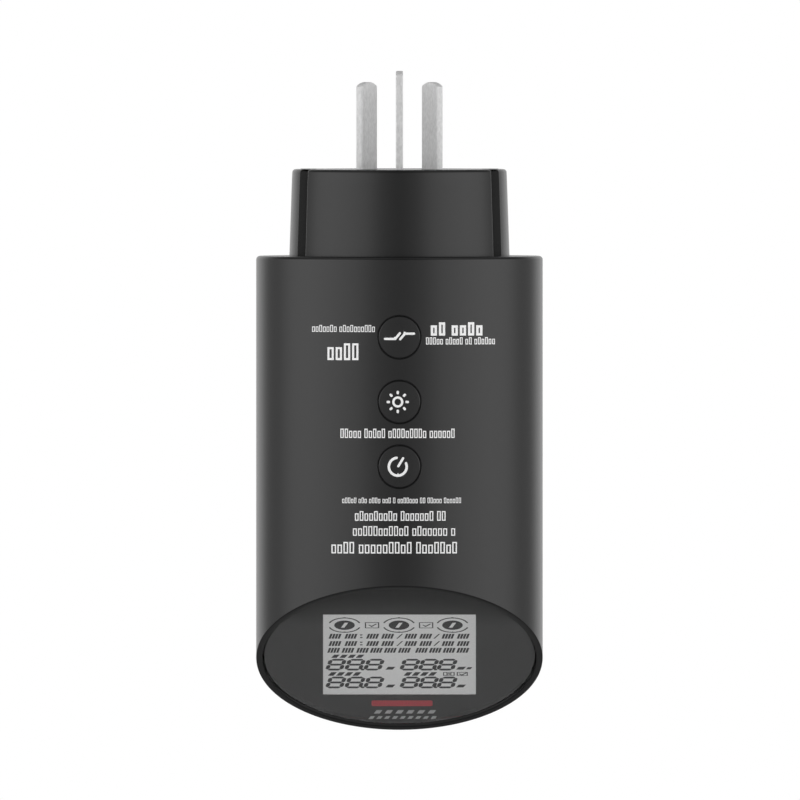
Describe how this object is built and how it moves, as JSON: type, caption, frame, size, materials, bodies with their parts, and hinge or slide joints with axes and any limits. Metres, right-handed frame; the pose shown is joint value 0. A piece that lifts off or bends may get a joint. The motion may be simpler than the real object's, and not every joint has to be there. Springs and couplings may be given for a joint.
{
  "type": "outlet tester plug",
  "caption": "Round black plug-in outlet tester with flat pins, a stepped neck, push buttons down the front and a display behind an oval window in its slanted end.",
  "frame": {"origin": "centre of the flat plug face that meets the socket", "axes": "+Z out of the plug face towards the pin tips; -Y the side with the buttons; +X the live pin's side"},
  "size_m": [0.06, 0.06, 0.1383],
  "materials": {
    "barrel_plastic": "fine moulded satin",
    "neck_plastic": "fine moulded satin",
    "pin_metal": "satin nickel plate",
    "insulator": "plain moulded",
    "screw_steel": "zinc plated",
    "brown_wire": "plain sleeve",
    "blue_wire": "plain sleeve",
    "green_wire": "plain sleeve",
    "circuit_board": "solder resist",
    "fuse_glass": "clear with metal ends",
    "blue_epoxy": "dipped epoxy",
    "yellow_case": "moulded case",
    "dark_case": "moulded case",
    "tan_ceramic": "fired coating",
    "blue_lacquer": "lacquered",
    "cap_plastic": "fine moulded satin",
    "plunger_plastic": "plain moulded",
    "ribbon_cable": "flat cable",
    "window_clear": "polished clear sheet",
    "mask_film": "printed film",
    "white_tape": "adhesive foam",
    "lcd_cell": "polarised glass cell",
    "white_holder": "plain moulded",
    "light_acrylic": "frosted acrylic",
    "strip_rubber": "soft rubber",
    "led_case": "moulded lens",
    "tray_plastic": "plain moulded",
    "cell_jacket": "printed jacket",
    "contact_metal": "nickel plate"
  },
  "bodies": {
    "body": {"housing": "barrel_plastic", "plug_base": "neck_plastic", "pin_live": "pin_metal", "pin_neutral": "pin_metal", "pin_earth": "pin_metal", "pin_clamp": "insulator", "clamp_screws": "screw_steel", "base_screws": "screw_steel", "live_wire": "brown_wire", "neutral_wire": "blue_wire", "earth_wire": "green_wire", "main_board": "circuit_board", "board_screws": "screw_steel", "fuse": "fuse_glass", "varistor": "blue_epoxy", "film_capacitor": "yellow_case", "relay": "dark_case", "load_resistors": "tan_ceramic", "divider_resistors": "blue_lacquer", "controller": "dark_case", "button_board": "circuit_board", "button_screws": "screw_steel", "switch_bodies": "dark_case", "button_ribbon": "ribbon_cable", "display_ribbon": "ribbon_cable", "display_window": "window_clear", "window_mask": "mask_film", "window_tape": "white_tape", "lcd_glass": "lcd_cell", "lcd_holder": "white_holder", "light_guide": "light_acrylic", "contact_strips": "strip_rubber", "backlight_leds": "led_case", "display_board": "circuit_board", "display_screws": "screw_steel", "holder_screws": "screw_steel", "battery_tray": "tray_plastic", "tray_screws": "screw_steel", "cell_left": "cell_jacket", "cell_right": "cell_jacket", "cell_contacts": "contact_metal"},
    "button_test": {"cap_test": "cap_plastic", "plunger_test": "plunger_plastic"},
    "button_light": {"cap_light": "cap_plastic", "plunger_light": "plunger_plastic"},
    "button_power": {"cap_power": "cap_plastic", "plunger_power": "plunger_plastic"},
    "door": {"battery_door": "barrel_plastic", "door_screw": "screw_steel"}
  },
  "joints": [
    {"name": "press_test", "type": "slide", "parent": "body", "child": "button_test", "axis": [0, 1, 0], "range_m": [0, 0.0005], "stiffness_N_per_m": 800},
    {"name": "press_light", "type": "slide", "parent": "body", "child": "button_light", "axis": [0, 1, 0], "range_m": [0, 0.0005], "stiffness_N_per_m": 800},
    {"name": "press_power", "type": "slide", "parent": "body", "child": "button_power", "axis": [0, 1, 0], "range_m": [0, 0.0005], "stiffness_N_per_m": 800},
    {"name": "door_swing", "type": "hinge", "parent": "body", "child": "door", "pos_m": [0, 0.03, -0.0346], "axis": [1, 0, 0], "range_deg": [0, 70]}
  ]
}
